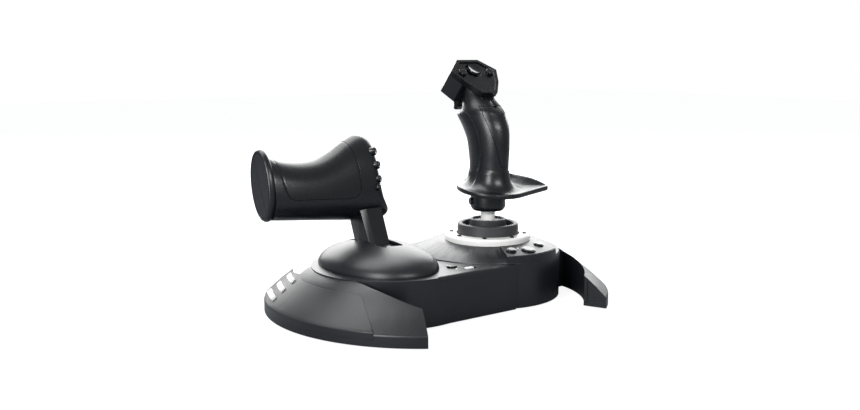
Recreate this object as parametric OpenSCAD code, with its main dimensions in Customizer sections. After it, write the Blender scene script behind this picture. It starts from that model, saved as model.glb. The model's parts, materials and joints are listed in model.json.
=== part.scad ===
// Flight joystick and throttle on one split base: a twisting stick in a gimbal on the right,
// a leaning throttle lever under a dome on the left, and a crescent foot at each side.
// X points to the user's right, Y away from the user, Z up. The origin is on the desk, mid-base.

/* [Base] */
// Radius of the round base drum under the stick, and of its twin under the throttle
base_r = 71; // [69:1:73]
// Distance of each drum's centre from the middle of the unit
base_x = 55; // [54:1:56]
// How far the drums' centres sit away from the user
base_y = 6; // [4:1:8]
// Height of the vertical wall of the stick's drum
drum_wall_h = 43; // [41:1:44]
// Height of the flat top that carries the trim ring
drum_top_z = 54; // [53:0.5:55]
// Height of the deck between the throttle dome and the stick's drum
deck_z = 43; // [41:0.5:44]
// Wall thickness of every moulded shell
wall = 2.5; // [2:0.1:3]
// Height of the rubber feet, and of the bottom edge of the shells
foot_h = 1.5; // [1:0.1:2.5]
// Thickness of the bottom plates
plate_t = 2.5; // [2:0.1:3]

/* [Crescent feet] */
// Radius of the crescents' outer wall
wing_r = 143; // [140:1:146]
// Distance of the outer wall's centre from the middle of the unit
wing_x = 20; // [18:1:22]
// Radius of the hollow inner side of each crescent
wing_in_r = 101; // [100:1:102]
// Height of the crescents' outer wall
wing_edge_h = 13; // [10:1:16]
// How far the ends of the crescents reach, towards the user and away from the user
wing_reach = 110.3; // [105:0.1:114]

/* [Stick] */
// Distance of the stick from the middle of the unit
stick_x = 53; // [52:0.5:54]
// Height of the gimbal's centre
pivot_z = 52; // [51.5:0.1:52.5]
// Radius of the stick's round shaft
shaft_r = 6.65; // [6:0.05:7]
// Outer radius of the trim ring
ring_r = 40.4; // [39:0.1:41]
// Number of screws in the trim ring
ring_screw_count = 8; // [4:1:12]
// Radius of the circle that the trim ring's screws stand on
ring_screw_pcd_r = 34.75; // [34:0.05:36]
// Outer radius of the rubber cup round the stick
cup_r = 28.6; // [28:0.1:29]
// Outer radius of the rubber cuff on the stick
cuff_r = 17.3; // [16.5:0.1:17.5]

/* [Grip] */
// Height of the bottom of the grip's collar
collar_z = 82; // [81:0.5:84]
// Radius of the grip's collar
collar_r = 16.5; // [15.5:0.1:17]
// Tilt of the hand rest, rising away from the user, in degrees
rest_tilt = 6.67; // [5:0.1:8]
// Tilt of the button plate on the head, rising away from the user, in degrees
head_tilt = 40.8; // [38:0.2:43]
// Height of the middle of the button plate
head_z = 207.6; // [205:0.2:210]
// How far the middle of the button plate is from the stick's axis, away from the user
head_y = 15.4; // [13:0.2:18]

/* [Throttle] */
// Distance of the throttle lever from the middle of the unit, to the user's left
throttle_x = 65; // [63:1:67]
// How far the lever's axle is away from the user
axle_y = 4; // [2:1:6]
// Height of the lever's axle
axle_z = 22; // [20:1:24]
// Lean of the lever at rest, away from the user, in degrees
lever_lean = 23; // [20:1:26]
// Half width of the dome over the lever, where it meets the base
dome_r = 48; // [46:1:50]
// Height of the top of the dome
dome_top_z = 64.5; // [63:0.5:66]
// Distance from the axle to the middle of the handle
handle_reach = 103.5; // [100:0.5:107]

/* [Buttons] */
// Running gap round every button
button_gap = 0.3; // [0.2:0.05:0.5]

/* [Hidden] */

$fn = 96;
eps = 0.01;
big = 400;
pin_r = 2;                 // gimbal pins
pin_fit = 0.05;            // radial running gap of every pin and shaft
screw_r = 1.1;
plate_top = foot_h + plate_t;
drum_slope_r = 47;         // where the drum's slope meets its flat top
charcoal = "#2b2d31";
dark = "#1b1c1f";
mid_grey = "#4a4c50";
pale = "#e8e8e6";
steel = "#9a9da1";
board_green = "#1f5a3a";
felt_brown = "#7a4b2a";

// ---------- shared shapes ----------

function arc(cx, cy, r, a0, a1, n) = [for (i = [0:n]) let (a = a0 + (a1 - a0) * i / n)
  [cx + r * cos(a), cy + r * sin(a)]];
function ellipse_arc(cx, cy, rx, ry, a0, a1, n) = [for (i = [0:n]) let (a = a0 + (a1 - a0) * i / n)
  [cx + rx * cos(a), cy + ry * sin(a)]];

module at_stick() translate([stick_x, 0, 0]) children();
module at_drum() translate([base_x, base_y, 0]) children();
module at_throttle_drum() translate([-base_x, base_y, 0]) children();
// The button plate's own frame: x across, y up the plate, z out of its face
module at_head() translate([stick_x, head_y, head_z]) rotate([head_tilt, 0, 0]) children();
// The lever's own frame: origin on the axle, z along the lever as it leans at rest
module at_lever() translate([-throttle_x, axle_y, axle_z]) rotate([-lever_lean, 0, 0]) children();
module along_x(r, x0, x1, y, z) translate([x0, y, z]) rotate([0, 90, 0]) cylinder(r = r, h = x1 - x0);
module along_y(r, y0, y1, x, z) translate([x, y0, z]) rotate([-90, 0, 0]) cylinder(r = r, h = y1 - y0);
module box(x0, x1, y0, y1, z0, z1) translate([x0, y0, z0]) cube([x1 - x0, y1 - y0, z1 - z0]);
module post(r, z0, z1, x = 0, y = 0) translate([x, y, z0]) cylinder(r = r, h = z1 - z0);
module block_profile(profile, x0, x1)
  translate([x0, 0, 0]) rotate([90, 0, 90]) linear_extrude(x1 - x0) polygon(profile);

// ---------- stick base ----------

// Half section of the drum: outside, then back along the inside
module drum_section() {
  slope_in = wall * 1.09;
  polygon([
    [base_r, foot_h], [base_r, drum_wall_h - 1], [base_r - 0.7, drum_wall_h + 0.8],
    [drum_slope_r, drum_top_z], [0, drum_top_z], [0, drum_top_z - wall],
    [drum_slope_r - 0.5, drum_top_z - wall], [base_r - wall, drum_wall_h - slope_in + 0.4],
    [base_r - wall, foot_h]
  ]);
}
boot_hole_r = 26;
gland_z = 20;
gland_r = 4;
boss_r = 3.5;
boss_ring_r = 60;
function boss_angle(i) = 45 + 90 * i;
module drum_bosses(z0, z1) {
  for (i = [0:3]) rotate(boss_angle(i)) translate([boss_ring_r, 0, 0]) difference() {
    post(boss_r, z0, z1);
    post(screw_r, z0 - 1, z0 + 12);
  }
}
module stick_base_shell() color(charcoal) difference() {
  union() {
    at_drum() rotate_extrude() drum_section();
    at_drum() drum_bosses(plate_top, drum_wall_h + 2.9);
  }
  at_stick() post(boot_hole_r, drum_top_z - 5, drum_top_z + 5);
  at_stick() ring_screw_places() post(screw_r, drum_top_z - 5, drum_top_z + 5);
  for (b = console_buttons) at_console(b[0], b[1]) post(b[2] + button_gap, -13, 5);
  along_y(gland_r, base_y + base_r - 6, base_y + base_r + 3, base_x, gland_z);
}
wheel_hole_r = 20;
module stick_base_plate() color(dark) difference() {
  at_drum() post(base_r - wall - 0.1, foot_h, plate_top);
  at_stick() post(wheel_hole_r, 0, plate_top + 1);
  at_drum() for (i = [0:3]) rotate(boss_angle(i)) post(screw_r, 0, plate_top + 1, boss_ring_r);
}

// ---------- crescent feet ----------

wing_crest_r = 101;
// Arcs of the hollow inner side: middle in X, middle in Y, radius
right_near_arc = [28, -12, wing_in_r];
left_near_arc = [-7, -17.7, wing_in_r + 22.6];
far_arc = [28, 28, wing_in_r];
// Inner corner of each slanted end, and the direction of its cut, in degrees from X
wing_tip_near = [91.5, -91.3];
wing_tip_far = [110, 86.8];
wing_tip_dir = 67;
// Upper surface of a crescent, from its outer wall up to the crest
function wing_top() = concat(
  arc(wing_r - 3, wing_edge_h - 3, 3, 0, 50, 4),
  [[132, 21.5], [122, 29.3], [112, 38], [106, 41.6], [wing_crest_r, 43]]
);
module wing_solid() {
  translate([wing_x, base_y + 2, 0]) rotate_extrude()
    polygon(concat([[40, foot_h], [wing_r, foot_h]], wing_top(), [[40, 43]]));
}
// Everything beyond a slanted end, towards the user (s = -1) or away from the user (s = 1)
module beyond_end(tip, s) translate([tip[0], tip[1], -1]) rotate(s * wing_tip_dir)
  translate([-big, s > 0 ? 0 : -big, 0]) cube([2 * big, big, big]);
module arc_post(a, grow, z0) post(a[2] + grow, z0, big, a[0], a[1]);
module crescent_form(near_arc) {
  difference() {
    wing_solid();
    box(-big, wing_tip_near[0], -big, big, -1, big);
    arc_post(near_arc, 0, -1);
    arc_post(far_arc, 0, -1);
    beyond_end(wing_tip_near, -1);
    beyond_end(wing_tip_far, 1);
    at_drum() post(base_r, -1, big);
  }
}
// The bridge joins the crescent's crest to the drum
module crescent_bridge() difference() {
  intersection() {
    box(105, 131, -26, 40, foot_h, big);
    wing_solid();
  }
  at_drum() post(base_r, -1, big);
}
// Hollow inside of a crescent, open below
module crescent_hollow() intersection() {
  translate([wing_x, base_y + 2, -eps]) rotate_extrude()
    polygon([[112.5, 0], [wing_r - 3, 0], [wing_r - 3, 9], [130, 19.5], [120, 27.5], [112.5, 33]]);
  box(100, big, -70, 70, -1, big);
}
module crescent_shell(near_arc) difference() {
  union() {
    crescent_form(near_arc);
    crescent_bridge();
  }
  difference() {
    crescent_hollow();
    arc_post(near_arc, wall, -2);
    arc_post(far_arc, wall, -2);
    for (a = [-24, 0, 24]) translate([wing_x, base_y + 2, 0]) rotate(a) box(0, 200, -1, 1, -2, 60);
  }
  // Shallow recess that frames the slanted front end
  translate([wing_tip_near[0], wing_tip_near[1], 0]) rotate(-wing_tip_dir)
    translate([2.5, -0.8, 0]) rotate([90, 0, 0]) mirror([0, 0, 1])
      linear_extrude(2) polygon([[0, 5], [15, 5], [15, 10], [0, 24]]);
}
// Stubs inside each hollow crescent, for its rubber feet
module crescent_stubs() for (p = crescent_foot_places) post(4.5, foot_h, 15.5, p[0], p[1]);
module right_crescent() color(charcoal) {
  crescent_shell(right_near_arc);
  crescent_stubs();
}
module left_crescent() color(charcoal) difference() {
  mirror([1, 0, 0]) union() {
    crescent_shell(left_near_arc);
    crescent_stubs();
  }
  crescent_cover_form();
  light_strip_forms();
}
// The inlaid cover lies on the crescent's slope and bends down its outer wall
cover_t = 1.6;
cover_a0 = 168;            // angle of its far end, seen from above
cover_a1 = 220;            // angle of its near end, before the slanted cut
module crescent_cover_form() {
  difference() {
    mirror([1, 0, 0]) translate([wing_x, base_y + 2, 0]) rotate([0, 0, 180 - cover_a1])
      rotate_extrude(angle = cover_a1 - cover_a0)
        polygon([
          [wing_r + 0.4, 7], [wing_r + 0.4, wing_edge_h], [wing_r - 2, wing_edge_h + 2.4], [132.3, 22.4],
          [122.3, 30.1], [116, 35], [115.1, 33.9], [121.3, 28.1], [131.2, 20.2], [wing_r - 4, 11.6],
          [wing_r - cover_t, 7]
        ]);
    translate([-121, -48, 0]) rotate(-18) box(0, 60, -60, 30, -1, 60);
  }
}
module crescent_cover() color(dark) crescent_cover_form();
// Three pale strips let into the slope beyond the cover
strip_radii = [119.5, 128.5, 137];
strip_heights = [31.3, 24.2, 17.6];
module light_strip_forms() {
  for (i = [0:2]) mirror([1, 0, 0]) translate([wing_x, base_y + 2, 0]) rotate([0, 0, 15.5])
    rotate_extrude(angle = 11) translate([strip_radii[i], strip_heights[i]]) rotate(-38)
      square([4.6, 4], center = true);
}
module light_strips() color(pale) light_strip_forms();

// ---------- console on the front of the stick base ----------

console_a0 = -107.5;
console_a1 = -68;
console_edge_z = 49.8;
console_inner_r = 44;
console_top_z = drum_top_z + 0.6;
led_r = 0.9;
console_led = [-97.5, 55]; // angle round the drum, distance from its centre
deck_led = [-22, -47];     // X and Y
console_tilt = atan((console_top_z - console_edge_z) / (base_r - drum_slope_r));
// Angle round the drum, distance from its centre, cap radius
console_buttons = [[-106, 58.5, 4.6], [-68.5, 56.5, 4.6], [-90, 61.3, 6.5]];
module at_console(a, r) {
  z = console_top_z - (r - drum_slope_r) * tan(console_tilt);
  at_drum() rotate(a) translate([r, 0, z]) rotate([0, console_tilt, 0]) children();
}
module console_section() polygon([
  [console_inner_r, drum_top_z], [drum_slope_r, drum_top_z], [base_r - 0.7, drum_wall_h + 0.8],
  [base_r - 0.02, drum_wall_h + 0.6], [base_r, console_edge_z - 1], [base_r - 1, console_edge_z],
  [drum_slope_r, console_top_z], [console_inner_r, console_top_z]
]);
module console_panel() color(dark) difference() {
  at_drum() rotate(console_a0 - 6) rotate_extrude(angle = console_a1 - console_a0 + 12) console_section();
  at_stick() post(ring_r + 0.1, drum_top_z - 1, drum_top_z + 9);
  for (b = console_buttons) at_console(b[0], b[1]) post(b[2] + button_gap, -13, 5);
  at_console(console_led[0], console_led[1]) post(led_r, -13, 5);
}
module console_button(b) at_console(b[0], b[1]) {
  post(b[2], -6, 1.2);
  post(b[2] - 1, 1.2 - eps, 1.8);
  post(b[2] - 1.6, -10 - eps, -6 + eps);
  post(b[2] + 1.2, -11.2, -10);
}
module console_button_left() color(dark) console_button(console_buttons[0]);
module console_button_right() color(dark) console_button(console_buttons[1]);
module console_button_middle() color(mid_grey) console_button(console_buttons[2]);
module indicator_lights() color(pale) {
  at_console(console_led[0], console_led[1]) post(led_r, -2.2, 0.3);
  post(led_r, deck_z - wall, deck_z + 0.3, deck_led[0], deck_led[1]);
}

// ---------- trim ring and rubber boot ----------

module ring_screw_places()
  for (i = [0:ring_screw_count - 1]) rotate(360 * i / ring_screw_count)
    translate([ring_screw_pcd_r, 0, 0]) children();
module ring_trim() color(pale) at_stick() difference() {
  rotate_extrude() polygon([
    [32.6, drum_top_z], [ring_r - 0.4, drum_top_z], [ring_r, drum_top_z + 1], [ring_r, drum_top_z + 4.6],
    [ring_r - 1.2, drum_top_z + 6.1], [ring_r - 2.6, drum_top_z + 6.4], [30, drum_top_z + 6.4],
    [30, drum_top_z + 1.4], [32.6, drum_top_z + 1.4]
  ]);
  ring_screw_places() post(screw_r + pin_fit, drum_top_z - 1, drum_top_z + 9);
}
module ring_screws() color(steel) at_stick() ring_screw_places() difference() {
  union() {
    post(screw_r, drum_top_z - 5, drum_top_z + 6.4);
    post(2, drum_top_z + 6.4, drum_top_z + 7.4);
  }
  translate([0, 0, drum_top_z + 7]) cube([2.4, 0.6, 1], center = true);
  translate([0, 0, drum_top_z + 7]) cube([0.6, 2.4, 1], center = true);
}
module gaiter_cup() color(dark) at_stick() rotate_extrude() polygon(concat(
  [[26.3, drum_top_z], [32.4, drum_top_z], [32.4, drum_top_z + 1.3], [29.9, drum_top_z + 1.3],
   [29.6, drum_top_z + 4], [29.1, 62]],
  arc(cup_r - 1.5, 68.5, 1.5, 0, 90, 5),
  arc(cup_r - 2.9, 68.6, 1.4, 90, 180, 5),
  [[24.3, 57], [26.3, 55.5]]
));

// ---------- gimbal ----------

frame_in_r = 22.5;
frame_out_r = 25.2;
module gimbal_frame() color(mid_grey) at_stick() difference() {
  rotate_extrude() polygon([
    [frame_in_r, 45], [frame_out_r, 45], [frame_out_r, drum_top_z - 5.5], [38, drum_top_z - 5.5],
    [38, drum_top_z - wall], [frame_out_r, drum_top_z - wall], [frame_out_r, 55], [frame_in_r, 55]
  ]);
  along_x(pin_r + pin_fit, -30, 30, 0, pivot_z);
  ring_screw_places() post(screw_r, drum_top_z - 7, drum_top_z);
}
module pitch_sensor() color(board_green) at_stick() difference() {
  intersection() {
    box(17.9, 23, -4.5, 4.5, pivot_z - 5, pivot_z + 2.9);
    post(frame_in_r, 40, 60);
  }
  along_x(pin_r + 0.1, 15, 25, 0, pivot_z);
}
yoke_in_r = 13.5;
yoke_out_r = 17;
module gimbal_yoke() color(steel) at_stick() difference() {
  union() {
    difference() {
      post(yoke_out_r, pivot_z - 4.5, pivot_z + 4.5);
      post(yoke_in_r, pivot_z - 6, pivot_z + 6);
    }
    along_x(pin_r, yoke_in_r + 1, frame_out_r - 0.2, 0, pivot_z);
    along_x(pin_r, -frame_out_r + 0.2, -yoke_in_r - 1, 0, pivot_z);
  }
  along_y(pin_r + pin_fit, -20, 20, 0, pivot_z);
}
module roll_sensor() color(board_green) at_stick() difference() {
  box(-4.5, 4.5, -21.5, -16, pivot_z - 4, pivot_z + 4);
  post(yoke_out_r, 40, 60);
  along_y(pin_r + 0.1, -25, -15, 0, pivot_z);
}
hub_r = 10;
hub_top = pivot_z + 6.5;
module stick_hub() color(steel) at_stick() {
  difference() {
    post(hub_r, pivot_z - 6.5, hub_top);
    post(3.5, pivot_z, hub_top + 1);
  }
  along_y(pin_r, hub_r - 2, yoke_out_r - 0.1, 0, pivot_z);
  along_y(pin_r, -21, -hub_r + 2, 0, pivot_z);
  post(4.5, 37, pivot_z - 6.4);
  post(11, 34, 38);
}
shaft_top = 110;
module stick_shaft() color(pale) at_stick() difference() {
  union() {
    post(shaft_r, hub_top, shaft_top);
    post(9, 108.4, shaft_top);
  }
  post(4, hub_top - 1, shaft_top + 1);
}
cuff_ball_out = 23.4;
cuff_ball_in = 21.6;
// Inner step of the boot: a short cup on the stick over a skirt centred on the gimbal
module gaiter_cuff() color(dark) at_stick() rotate_extrude() polygon(concat(
  [[shaft_r, 70], [shaft_r, 72], [14.3, 72], [14.8, 73.8], [15.5, 74], [16.7, 74], [cuff_r, 73.3]],
  arc(0, pivot_z, cuff_ball_out, 42.4, 32, 5),
  arc(0, pivot_z, cuff_ball_in, 32, 56.4, 8)
));

// ---------- self-centring ----------

module tension_wheel() color(dark) at_stick() difference() {
  union() {
    post(wheel_hole_r - 0.6, foot_h + 0.6, 7.5);
    post(9, 7.5 - eps, 12);
  }
  for (i = [0:23]) rotate(15 * i) post(0.9, 0, 8, wheel_hole_r - 0.6);
  box(-8, 8, -1.2, 1.2, 0, foot_h + 1.6);
}
module centering_cup() color(mid_grey) at_stick() {
  post(14, 27.5, 30.3);
  post(4, 20, 27.6);
}
spring_wire = 1.2;
spring_r = 9.5;
spring_z0 = 12.05;
spring_z1 = 27.45;
spring_rings = 7;
// Closed stack of rings that stands for the coil
module centering_spring() color(steel) at_stick() {
  pitch = (spring_z1 - spring_z0 - 2 * spring_wire) / (spring_rings - 1);
  for (i = [0:spring_rings - 1]) translate([0, 0, spring_z0 + spring_wire + i * pitch])
    rotate_extrude($fn = 48) translate([spring_r - 2.2, 0]) circle(r = spring_wire, $fn = 24);
  rotate_extrude() translate([spring_r - 2.6, spring_z0]) square([0.8, spring_z1 - spring_z0]);
}

// ---------- electronics and weights ----------

board_z = 35;
board_t = 1.6;
deck_board_z = deck_z - 16;
module circuit_boards() color(board_green) {
  at_drum() intersection() {
    box(-33, 33, -64, -42, board_z, board_z + board_t);
    post(base_r - wall - 0.2, 30, 40);
  }
  for (b = console_buttons) at_drum() rotate(b[0]) translate([b[1] - 2, 0, 0])
    box(-3, 3, -3, 3, board_z + board_t - eps, board_z + board_t + 1.6);
  at_drum() for (x = [-28, 28]) post(2, plate_top, board_z + eps, x, -58);
  intersection() {
    box(-24, 2, -56, -28, deck_board_z, deck_board_z + board_t);
    linear_extrude(deck_z) throttle_plan(wall + 0.5);
  }
  box(-24, -18, -42, -36, deck_board_z + 1.5, deck_board_z + 4.5);
  for (x = [-22, 0]) post(2, plate_top, deck_board_z + eps, x, -53);
}
module cable_gland() color(dark) difference() {
  union() {
    along_y(gland_r - 0.05, base_y + base_r - 3.4, base_y + base_r + 1.5, base_x, gland_z);
    along_y(gland_r + 1.6, base_y + base_r - 0.03, base_y + base_r + 2.2, base_x, gland_z);
    along_y(gland_r + 1.6, base_y + base_r - 5, base_y + base_r - 3, base_x, gland_z);
  }
  along_y(2.4, base_y + base_r - 7, base_y + base_r + 4, base_x, gland_z);
  difference() {
    at_drum() post(base_r, 0, 60);
    at_drum() post(base_r - wall, 0, 60);
    along_y(gland_r, 0, 100, base_x, gland_z);
  }
}
ballast_r = 52;
ballast_t = 3;
module ballast_plates() color(steel) {
  difference() {
    at_drum() post(ballast_r, plate_top, plate_top + ballast_t);
    at_stick() post(wheel_hole_r + 3, 0, 20);
    at_drum() for (i = [0:3]) rotate(boss_angle(i)) post(boss_r + 1, 0, 20, boss_ring_r);
  }
  box(-112, -96, -22, 36, plate_top, plate_top + ballast_t);
}
screw_tip_z = 14;
module base_screw() difference() {
  union() {
    post(screw_r, foot_h - eps, screw_tip_z);
    post(2.2, foot_h - 0.9, foot_h);
  }
  translate([0, 0, foot_h - 0.9]) cube([2.8, 0.7, 0.8], center = true);
}
module base_screws() color(steel) {
  at_drum() for (i = [0:3]) rotate(boss_angle(i)) translate([boss_ring_r, 0, 0]) base_screw();
  at_throttle_drum() for (i = [1:2]) rotate(boss_angle(i)) translate([boss_ring_r, 0, 0]) base_screw();
  for (p = joint_bosses) translate([p[0], p[1], 0]) base_screw();
}
foot_places = [[55, -52], [30, 60], [80, 60], [-55, -52], [-80, 60], [-30, 60]];
crescent_foot_places = [[146, -30], [146, 46]];
module rubber_feet() color(dark) {
  for (p = foot_places) post(7, 0, foot_h, p[0], p[1]);
  for (p = crescent_foot_places) for (s = [-1, 1]) post(4, 0, foot_h, s * p[0], p[1]);
}

// ---------- throttle base ----------

joint_bosses = [[-36, -54], [-12, 56]];
throttle_back_y = 70;
front_y = -64;
// Plan of the throttle base: its own drum, and a block that reaches to the stick's drum
module throttle_plan(inset) difference() {
  union() {
    translate([-base_x, base_y]) circle(r = base_r - inset);
    translate([-base_x, front_y + inset]) square([88 - inset, throttle_back_y - front_y - 2 * inset]);
  }
  translate([base_x, base_y]) circle(r = base_r + inset);
}
module throttle_base_shell() color(charcoal) difference() {
  union() {
    difference() {
      translate([0, 0, foot_h]) linear_extrude(deck_z - foot_h) throttle_plan(0);
      translate([0, 0, -eps]) linear_extrude(deck_z - wall) throttle_plan(wall);
    }
    at_throttle_drum() for (i = [1:2]) rotate(boss_angle(i)) post(boss_r, plate_top, deck_z - 1, boss_ring_r);
    for (p = joint_bosses) post(boss_r, plate_top, deck_z - 1, p[0], p[1]);
  }
  at_throttle_drum() for (i = [1:2]) rotate(boss_angle(i)) post(screw_r, plate_top - 1, 16, boss_ring_r);
  for (p = joint_bosses) post(screw_r, plate_top - 1, 16, p[0], p[1]);
  post(dome_hole_r, deck_z - 6, deck_z + 2, dome_x, dome_y);
  translate(deck_button_xy) post(deck_button_r + button_gap, deck_z - 6, deck_z + 2);
  mode_switch_slot();
  post(led_r, deck_z - 6, deck_z + 2, deck_led[0], deck_led[1]);
  // Rounded front edge of the deck
  difference() {
    box(-55, 40, front_y - 1, front_y + 3, deck_z - 3, deck_z + 1);
    along_x(3, -60, 45, front_y + 3, deck_z - 3);
  }
}
module throttle_base_plate() color(dark) difference() {
  translate([0, 0, foot_h]) linear_extrude(plate_t) throttle_plan(wall + 0.1);
  at_throttle_drum() for (i = [1:2]) rotate(boss_angle(i)) post(screw_r, 0, plate_top + 1, boss_ring_r);
  for (p = joint_bosses) post(screw_r, 0, plate_top + 1, p[0], p[1]);
}
dome_x = -67;
dome_y = 9;
dome_run = 17;             // how far its two round ends stand from its middle
dome_hole_r = 43;
slot_y0 = -14;             // ends of the lever's slot in the dome
slot_y1 = 47;
slot_w = 22.4;
module dome_solid(inset) {
  rim = dome_r - inset;
  rise = dome_top_z - deck_z - inset;
  for (s = [-1, 1]) translate([dome_x, dome_y + s * dome_run, 0]) rotate_extrude()
    polygon(concat([[0, deck_z]], ellipse_arc(0, deck_z, rim, rise, 0, 90, 14)));
  translate([dome_x, dome_y + dome_run, 0]) rotate([90, 0, 0]) linear_extrude(2 * dome_run)
    polygon(ellipse_arc(0, deck_z, rim, rise, 0, 180, 28));
}
module dome_cap() color(charcoal) difference() {
  dome_solid(0);
  translate([0, 0, -eps]) dome_solid(wall);
  box(-throttle_x - slot_w / 2, -throttle_x + slot_w / 2, slot_y0, slot_y1, deck_z + 6, big);
}
deck_button_xy = [-20.5, -38.5, 0];
deck_button_r = 4.6;
module deck_button() color(dark) translate(deck_button_xy) {
  post(deck_button_r, deck_z - 4, deck_z + 1.6);
  post(deck_button_r + 1, deck_z - 5.6, deck_z - 4 + eps);
  post(1.8, deck_z - 9.5, deck_z - 5);
}
switch_x0 = -15.5;
switch_x1 = -4;
switch_y = -51.5;
module mode_switch_slot() box(switch_x0, switch_x1, switch_y - 2.4, switch_y + 2.4, deck_z - 6, deck_z + 2);
module mode_switch() color(pale) {
  box(switch_x0 + 0.3, switch_x0 + 8, switch_y - 2.1, switch_y + 2.1, deck_z - 5, deck_z + 1);
  box(switch_x0 - 3, switch_x1 - 0.5, switch_y - 4, switch_y + 4, deck_z - 6.5, deck_z - 4.9);
}

// ---------- throttle lever ----------

axle_r = 4;
lever_w = 20;              // across, in X
lever_d = 24;              // fore and aft
cheek_x = 16;              // distance of the bearing cheeks' middles from the lever's middle
module lever_bearings() color(mid_grey) difference() {
  union() {
    for (s = [-1, 1]) translate([-throttle_x + s * cheek_x, axle_y, 0]) {
      block_profile([[-18, plate_top], [18, plate_top], [9, axle_z + 6], [-9, axle_z + 6]], -1.5, 1.5);
      along_x(9, -1.5, 1.5, 0, axle_z + 2);
    }
    box(-throttle_x - 22, -throttle_x + 22, axle_y - 20, axle_y + 20, plate_top, plate_top + 3);
  }
  along_x(axle_r + pin_fit, -throttle_x - 25, -throttle_x + 25, axle_y, axle_z);
}
module friction_pads() color(felt_brown) for (s = [-1, 1]) difference() {
  along_x(9, -throttle_x + s * 12.4 - 2, -throttle_x + s * 12.4 + 2, axle_y, axle_z);
  along_x(axle_r + 0.3, -throttle_x - 25, -throttle_x + 25, axle_y, axle_z);
}
module throttle_sensor() color(board_green) difference() {
  box(-throttle_x + 17.6, -throttle_x + 24, axle_y - 8, axle_y + 8, 7.1, axle_z + 8);
  along_x(axle_r + 0.1, -throttle_x + 10, -throttle_x + 22, axle_y, axle_z);
}
module throttle_axle() color(steel)
  along_x(axle_r, -throttle_x - 21, -throttle_x + 21, axle_y, axle_z);
shield_r = 38.6;
shield_span = 58;          // half of the shield's arc, in degrees
sector_r = 2 * shield_r;
shield_sector = [[0, 0], [-sector_r * sin(shield_span), sector_r * cos(shield_span)], [0, sector_r],
  [sector_r * sin(shield_span), sector_r * cos(shield_span)]];
// Lever: hub on the axle, post up to the handle, and the curved shield that closes the slot
module throttle_lever() color(charcoal) at_lever() difference() {
  union() {
    along_x(11, -lever_w / 2, lever_w / 2, 0, 0);
    box(-lever_w / 2 + 3, lever_w / 2 - 3, -8, 8, 0, shield_r - 1);
    box(-lever_w / 2, lever_w / 2, -lever_d / 2, lever_d / 2, shield_r - 4, 71);
    intersection() {
      difference() {
        along_x(shield_r, -lever_w / 2 - 0.8, lever_w / 2 + 0.8, 0, 0);
        along_x(shield_r - 2, -lever_w, lever_w, 0, 0);
      }
      block_profile(shield_sector, -lever_w, lever_w);
    }
  }
  along_x(axle_r, -20, 20, 0, 0);
  post(3, 8, 72);
}

// ---------- throttle handle, in the lever's frame ----------

handle_x0 = -98;           // its outer end, measured from the lever
handle_x1 = 15;            // its inner end
section_tilt = 12;         // how much more upright than the lever the handle's section stands
module at_handle() at_lever() translate([0, 0, handle_reach]) rotate([section_tilt, 0, 0]) children();
// Outline seen from the user: saddle on top, flared inner end
function handle_outline() = concat(
  [[handle_x0 + 6, -31], [8, -33.5]],
  arc(21, -26, 5, -80, 10, 4),
  [[18.6, -14], [15, -4], [13.5, 12], [13, 27]],
  arc(5, 31, 7.5, 0, 100, 6),
  [[-8, 36], [-20, 29], [-34, 22], [-50, 19], [-68, 19.5], [-84, 22.5], [handle_x0 + 6, 25]]
);
// Section across the barrel
function handle_section(d) = ellipse_arc(0, -4, 20.5 - d, 40 - d, 0, 359, 47);
module handle_form(d) difference() {
  intersection() {
    translate([0, 60, 0]) rotate([90, 0, 0]) linear_extrude(120) polygon(handle_outline());
    translate([-110, 0, 0]) rotate([90, 0, 90]) linear_extrude(140) polygon(handle_section(d));
  }
  // Round corner where the thumb finds its buttons
  difference() {
    box(thumb_xy[0], 60, -60, thumb_xy[1], thumb_z0, 60);
    post(thumb_r, -60, 70, thumb_xy[0], thumb_xy[1]);
  }
}
thumb_xy = [4.5, -11.5];
thumb_r = 9;
thumb_z0 = -15;
module handle_hollow() {
  box(handle_x0 + 9, -8, -13, 13, -24, 14);
  box(-11, 11, -13, 13, -24, 26);
}
module handle_button_holes() {
  for (p = handle_buttons) at_thumb(p, thumb_turn) post(thumb_button_r + button_gap, -10, 10);
  at_thumb(oval_place, oval_turn) post(oval_r + button_gap, -9, 8);
  rocker_slot();
}
handle_buttons = [[9.6, -16.2, 21.6], [10.3, -18.4, 9], [10.3, -18.4, -3.6]];
thumb_turn = 50;           // how far the buttons turn from the handle's end towards the user
thumb_button_r = 3.2;
oval_place = [8, -19.3, -11.2];
oval_turn = 65;
oval_r = 3;
module at_thumb(p, turn) translate(p) rotate([0, 90, -turn]) children();
rocker_x = -45;
rocker_pivot_y = 16.4;
module rocker_slot() box(rocker_x - 15, rocker_x + 15, 14, 30, -7, 7);
module handle_half(s) at_handle() difference() {
  intersection() {
    handle_form(0);
    box(-200, 200, s > 0 ? 0 : -60, s > 0 ? 60 : 0, -80, 80);
  }
  handle_hollow();
  handle_button_holes();
}
module lever_socket() at_lever() box(-lever_w / 2, lever_w / 2, -lever_d / 2, lever_d / 2, 30, 71);
module handle_rear_shell() color(charcoal) difference() {
  handle_half(-1);
  lever_socket();
  at_handle() side_cover_form();
}
module handle_front_shell() color(charcoal) difference() {
  handle_half(1);
  lever_socket();
}
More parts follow.
